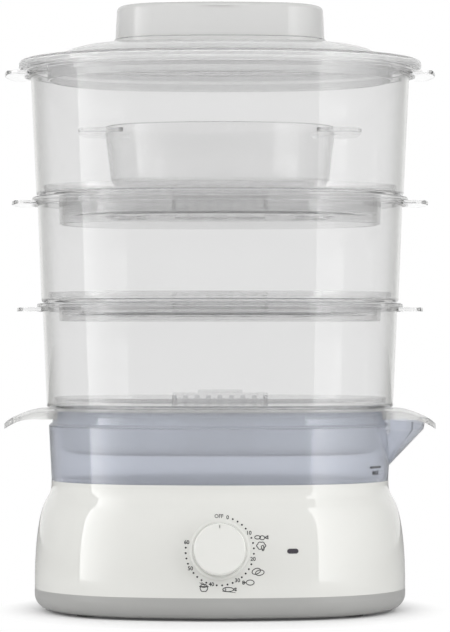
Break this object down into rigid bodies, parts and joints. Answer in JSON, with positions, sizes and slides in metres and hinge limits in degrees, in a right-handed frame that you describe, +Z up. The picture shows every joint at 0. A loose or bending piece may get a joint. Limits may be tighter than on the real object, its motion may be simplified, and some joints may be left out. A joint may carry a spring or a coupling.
{
  "type": "electric food steamer",
  "caption": "Oval electric food steamer: a base with water tank, timer dial and drip tray, under stacked clear steaming bowls with sieve trays, a rice bowl and a domed lid.",
  "frame": {"origin": "on the standing surface, under the middle of the base", "axes": "+Z up, -Y towards the front with the timer dial, +X towards the filling spout"},
  "size_m": [0.31, 0.2212, 0.4334],
  "materials": {
    "housing_white": "high gloss moulded",
    "skirt_grey": "satin moulded",
    "knob_white": "satin moulded",
    "tank_tint": "translucent, glossy",
    "drip_white": "translucent, glossy",
    "bowl_clear": "clear, glossy",
    "tray_clear": "clear, glossy",
    "rice_clear": "translucent, glossy",
    "lid_clear": "translucent, glossy",
    "handle_grey": "satin moulded",
    "foot_rubber": "matt",
    "seal_silicone": "matt",
    "plate_steel": "brushed",
    "zinc_steel": "zinc plated",
    "spreader_aluminium": "cast",
    "element_steel": "annealed",
    "terminal_brass": "tinned",
    "inner_plastic": "moulded",
    "block_plastic": "moulded",
    "lens_clear": "smoked, glossy",
    "neon_glass": "clear"
  },
  "bodies": {
    "base": {"base_housing": "housing_white", "bottom_cover": "skirt_grey", "rubber_feet": "foot_rubber", "cover_screws": "zinc_steel", "water_tank": "tank_tint", "cord_gland": "skirt_grey", "terminal_block": "block_plastic", "lamp_lens": "lens_clear", "lamp_holder": "inner_plastic", "signal_lamp": "neon_glass", "timer_case": "inner_plastic", "timer_screws": "zinc_steel", "timer_bell": "plate_steel", "heater_seal": "seal_silicone", "heater_plate": "plate_steel", "heat_spreader": "spreader_aluminium", "heater_clamp": "zinc_steel", "heater_screws": "zinc_steel", "heating_element": "element_steel", "element_terminals": "terminal_brass", "thermostat": "inner_plastic", "thermal_fuse": "zinc_steel"},
    "knob": {"timer_knob": "knob_white", "timer_shaft": "zinc_steel", "knob_clip": "zinc_steel"},
    "drip_tray": {"drip_tray": "drip_white"},
    "bowl_1": {"steaming_bowl_1": "bowl_clear"},
    "tray_1": {"bowl_tray_1": "tray_clear"},
    "bowl_2": {"steaming_bowl_2": "bowl_clear"},
    "tray_2": {"bowl_tray_2": "tray_clear"},
    "bowl_3": {"steaming_bowl_3": "bowl_clear"},
    "tray_3": {"bowl_tray_3": "tray_clear"},
    "rice_bowl": {"rice_bowl": "rice_clear"},
    "lid": {"lid_shell": "lid_clear", "lid_handle": "handle_grey", "handle_screws": "zinc_steel"}
  },
  "joints": [
    {"name": "drip_tray_lift", "type": "slide", "parent": "base", "child": "drip_tray", "axis": [0, 0, 1], "range_m": [0, 0.06]},
    {"name": "bowl_1_lift", "type": "slide", "parent": "drip_tray", "child": "bowl_1", "axis": [0, 0, 1], "range_m": [0, 0.05]},
    {"name": "tray_1_lift", "type": "slide", "parent": "bowl_1", "child": "tray_1", "axis": [0, 0, 1], "range_m": [0, 0.095]},
    {"name": "bowl_2_lift", "type": "slide", "parent": "tray_1", "child": "bowl_2", "axis": [0, 0, 1], "range_m": [0, 0.05]},
    {"name": "tray_2_lift", "type": "slide", "parent": "bowl_2", "child": "tray_2", "axis": [0, 0, 1], "range_m": [0, 0.095]},
    {"name": "bowl_3_lift", "type": "slide", "parent": "tray_2", "child": "bowl_3", "axis": [0, 0, 1], "range_m": [0, 0.06]},
    {"name": "tray_3_lift", "type": "slide", "parent": "bowl_3", "child": "tray_3", "axis": [0, 0, 1], "range_m": [0, 0.12]},
    {"name": "rice_bowl_lift", "type": "slide", "parent": "tray_3", "child": "rice_bowl", "axis": [0, 0, 1], "range_m": [0, 0.1]},
    {"name": "lid_lift", "type": "slide", "parent": "rice_bowl", "child": "lid", "axis": [0, 0, 1], "range_m": [0, 0.06]},
    {"name": "timer_turn", "type": "hinge", "parent": "base", "child": "knob", "pos_m": [0, -0.0978, 0.05], "axis": [0, 0.9945, -0.1045], "range_deg": [0, 285]}
  ]
}
